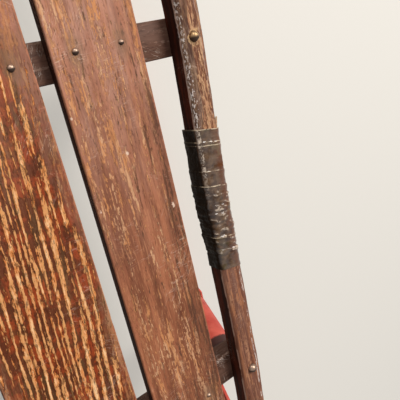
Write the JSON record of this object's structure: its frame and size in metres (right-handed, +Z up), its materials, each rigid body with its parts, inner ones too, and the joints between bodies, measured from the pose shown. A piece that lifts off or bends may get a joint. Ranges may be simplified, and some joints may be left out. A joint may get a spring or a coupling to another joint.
{
  "type": "wooden steering sled",
  "caption": "Weathered wooden sled with a slatted deck, side rails, splayed steel knees, flexing steel runners and a steering bar.",
  "frame": {"origin": "on the floor under the middle of the sled's length and width", "axes": "+Z up, -Y to the front of the sled, +X to the rider's left"},
  "size_m": [0.58, 1.537, 0.2343],
  "materials": {
    "deck_wood": "worn varnish",
    "rail_wood": "worn varnish",
    "bench_wood": "dull varnish",
    "bar_wood": "worn varnish",
    "red_steel": "satin",
    "bare_steel": "aged",
    "tape": "satin"
  },
  "bodies": {
    "sled": {"board_centre": "deck_wood", "board_left": "deck_wood", "board_right": "deck_wood", "rail_left": "rail_wood", "rail_right": "rail_wood", "tape_wrap": "tape", "bench_1": "bench_wood", "bench_2": "bench_wood", "bench_3": "bench_wood", "bench_4": "bench_wood", "nose_bench": "bench_wood", "runner_left": "red_steel", "runner_right": "red_steel", "runner_front_left": "red_steel", "runner_front_right": "red_steel", "pivot_plate": "bare_steel", "pivot_strap": "bare_steel", "pivot_bolt": "bare_steel", "knee_1_left": "red_steel", "knee_1_right": "red_steel", "knee_2_left": "red_steel", "knee_2_right": "red_steel", "knee_3_left": "red_steel", "knee_3_right": "red_steel", "knee_4_left": "red_steel", "knee_4_right": "red_steel"},
    "steering": {"steering_bar": "bar_wood", "tip_bracket_left": "red_steel", "tip_bracket_right": "red_steel"}
  },
  "joints": [
    {"name": "steer", "type": "hinge", "parent": "sled", "child": "steering", "pos_m": [0, -0.7245, 0.217], "axis": [0, 0, 1], "range_deg": [-10, 10], "stiffness_Nm_per_rad": 60, "deforming": ["runner_front_left", "runner_front_right"]}
  ]
}
